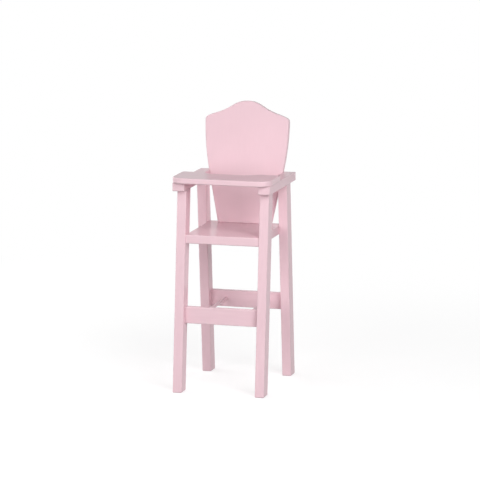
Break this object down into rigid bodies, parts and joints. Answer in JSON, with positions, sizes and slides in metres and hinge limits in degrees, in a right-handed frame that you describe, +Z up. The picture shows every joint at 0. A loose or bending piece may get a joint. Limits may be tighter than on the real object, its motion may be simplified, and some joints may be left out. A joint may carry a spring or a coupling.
{
  "type": "doll high chair",
  "caption": "Tall painted wooden high chair for dolls, with slanting flat legs, a fixed tray with a scooped rear edge and a shaped leaning backrest.",
  "frame": {"origin": "on the floor, midway between the four feet", "axes": "+Z up, +X to the chair's right as seen from the front, and the front with the tray faces -Y"},
  "size_m": [0.218, 0.2578, 0.5993],
  "materials": {
    "pink_paint": "smooth board under pale pink semi-gloss paint",
    "beech_dowel": "bare turned beech",
    "screw_steel": "zinc plated"
  },
  "bodies": {
    "root": {"leg_front_left": "pink_paint", "leg_front_right": "pink_paint", "leg_rear_left": "pink_paint", "leg_rear_right": "pink_paint", "arm_left": "pink_paint", "arm_right": "pink_paint", "tray": "pink_paint", "backrest": "pink_paint", "seat": "pink_paint", "rail_front": "pink_paint", "rail_rear": "pink_paint", "side_bar_left": "pink_paint", "side_bar_right": "pink_paint", "seat_dowels": "beech_dowel", "rail_front_dowels": "beech_dowel", "rail_rear_dowels": "beech_dowel", "arm_dowels": "beech_dowel", "backrest_dowels": "beech_dowel", "backrest_screws": "screw_steel", "tray_screws": "screw_steel"}
  },
  "joints": []
}
